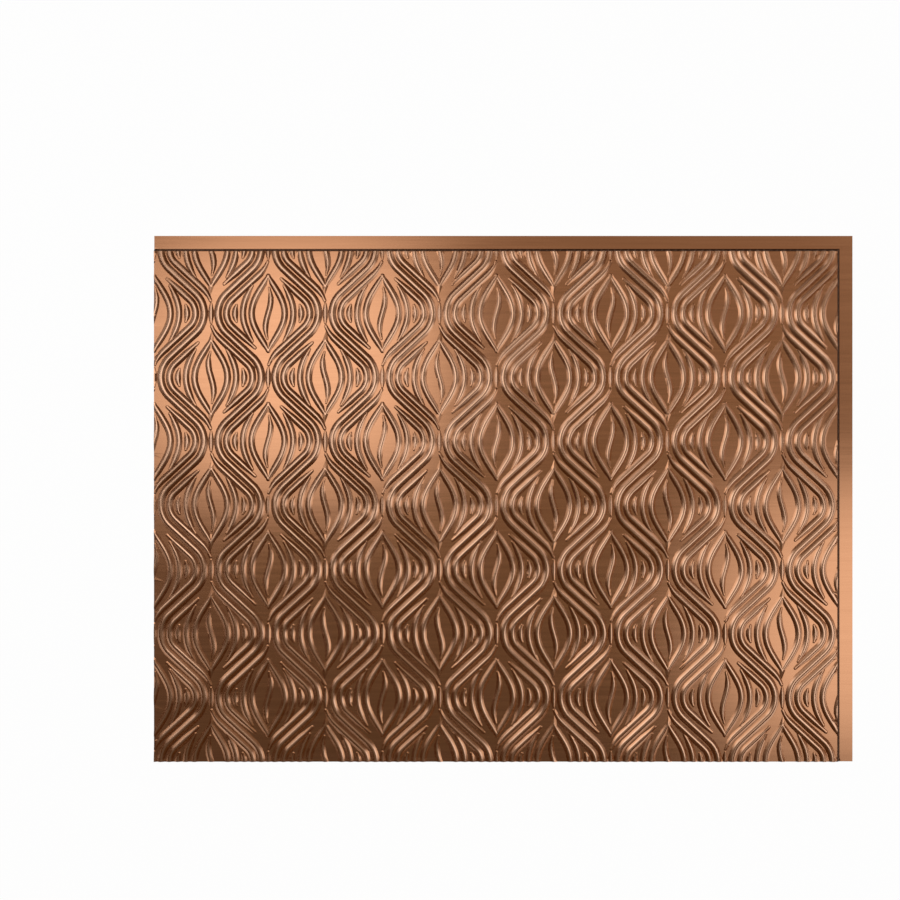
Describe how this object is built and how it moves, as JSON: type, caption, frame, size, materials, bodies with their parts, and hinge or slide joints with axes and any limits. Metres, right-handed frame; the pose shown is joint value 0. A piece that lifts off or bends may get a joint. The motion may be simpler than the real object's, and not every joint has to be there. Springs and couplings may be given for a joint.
{
  "type": "vinyl backsplash panel",
  "caption": "Thin heat-formed vinyl wall panel with a raised ogee relief, a bronze metallic face and flat lap flanges along its top and right edges, glued up in rows behind a worktop.",
  "frame": {"origin": "middle of the panel's outline, on the plane of the lap flanges' back", "axes": "+X along the long side towards the side lap flange, +Y along the short side towards the top lap flange, +Z out of the patterned face"},
  "size_m": [0.616, 0.4636, 0.0029],
  "materials": {
    "bronze_vinyl": "brushed bronze metallic film, satin"
  },
  "bodies": {
    "root": {"backsplash_panel": "bronze_vinyl"}
  },
  "joints": []
}
